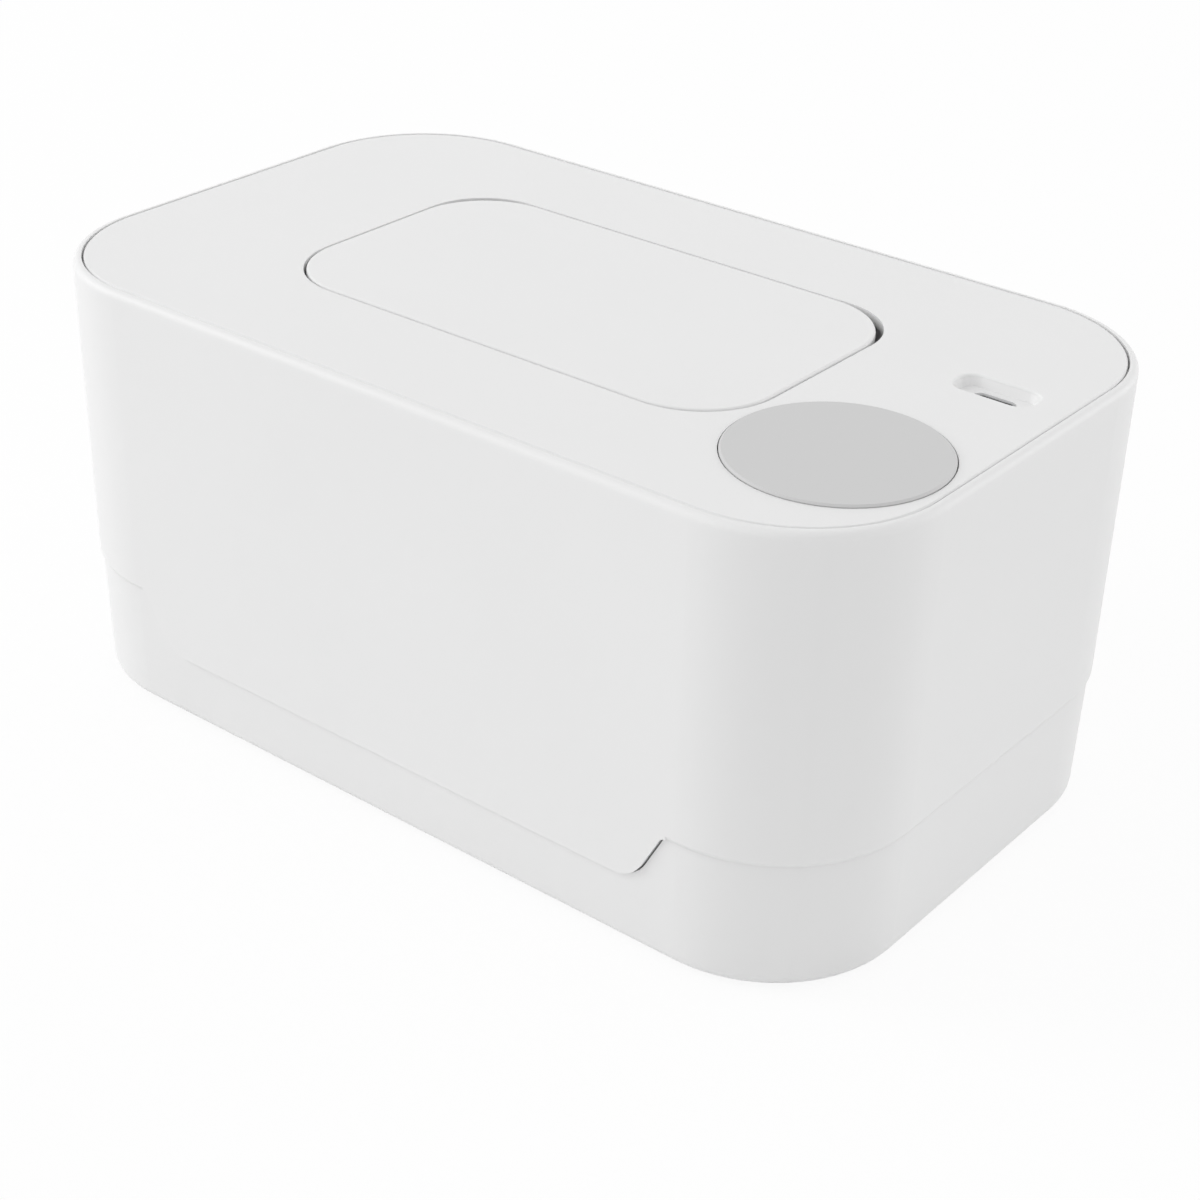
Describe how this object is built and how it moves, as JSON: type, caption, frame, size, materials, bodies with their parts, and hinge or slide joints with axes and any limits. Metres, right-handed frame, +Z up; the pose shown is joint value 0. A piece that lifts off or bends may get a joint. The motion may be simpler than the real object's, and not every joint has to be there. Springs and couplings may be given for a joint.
{
  "type": "baby wipe warmer",
  "caption": "Rounded box that keeps baby wipes warm: a lift-off heated cover with a flip lid over the dispensing mouth, on a base with an inner tray.",
  "frame": {"origin": "centre of the footprint, on the plane the feet stand on", "axes": "+X along the length, towards the lens and port; -Y is the front; +Z up"},
  "size_m": [0.22, 0.132, 0.1035],
  "materials": {
    "shell_plastic": "fine satin texture",
    "base_plastic": "fine satin texture",
    "panel_plastic": "fine satin texture",
    "lid_plastic": "fine satin texture",
    "tray_plastic": "polished",
    "cover_plastic": "moulded",
    "liner_plastic": "moulded",
    "latch_plastic": "moulded",
    "plunger_plastic": "natural acetal",
    "lens_plastic": "satin",
    "silicone": "silicone",
    "seal_silicone": "silicone",
    "foot_rubber": "matt",
    "screw_steel": "zinc plated",
    "pin_steel": "ground",
    "spring_steel": "drawn",
    "heater_aluminium": "rolled",
    "polyimide": "film",
    "foam": "closed cell foam",
    "fuse_ceramic": "glazed",
    "epoxy": "bead",
    "board_laminate": "solder mask",
    "chip_plastic": "moulded",
    "socket_steel": "nickel plated",
    "socket_plastic": "moulded",
    "connector_plastic": "nylon",
    "lead_insulation": "silicone",
    "display_plastic": "moulded",
    "touch_gold": "gold plated",
    "gasket_foam": "adhesive foam"
  },
  "bodies": {
    "base": {"base_shell": "base_plastic", "wipe_tray": "tray_plastic", "tray_screws": "screw_steel", "rubber_feet": "foot_rubber"},
    "cover": {"outer_shell": "shell_plastic", "top_panel": "panel_plastic", "inner_cover": "cover_plastic", "cover_screws": "screw_steel", "wipe_outlet": "silicone", "heater_plate": "heater_aluminium", "heater_film": "polyimide", "heater_insulation": "foam", "thermal_fuse": "fuse_ceramic", "temperature_sensor": "epoxy", "control_board": "board_laminate", "board_parts": "chip_plastic", "board_screws": "screw_steel", "usb_shell": "socket_steel", "usb_insulator": "socket_plastic", "heater_connector": "connector_plastic", "heater_leads": "lead_insulation", "display_module": "display_plastic", "touch_spring": "touch_gold", "lens_gasket": "gasket_foam", "display_lens": "lens_plastic", "hinge_pins": "pin_steel", "hinge_springs": "spring_steel", "latch_housing": "latch_plastic", "latch_spring": "spring_steel"},
    "lid": {"flip_lid": "lid_plastic", "lid_liner": "liner_plastic", "lid_seal": "seal_silicone"},
    "plunger": {"latch_plunger": "plunger_plastic"}
  },
  "joints": [
    {"name": "cover_lift", "type": "slide", "parent": "base", "child": "cover", "axis": [0, 0, 1], "range_m": [0, 0.06]},
    {"name": "lid_hinge", "type": "hinge", "parent": "cover", "child": "lid", "pos_m": [0, 0.0202, 0.1004], "axis": [-1, 0, 0], "range_deg": [0, 95]},
    {"name": "plunger_travel", "type": "slide", "parent": "cover", "child": "plunger", "axis": [0, 0, 1], "range_m": [0, 0.0025], "deforming": ["latch_spring"]}
  ],
  "couplings": [
    {"joint": "plunger_travel", "follows": "lid_hinge", "m_per_rad": 0.0015}
  ]
}
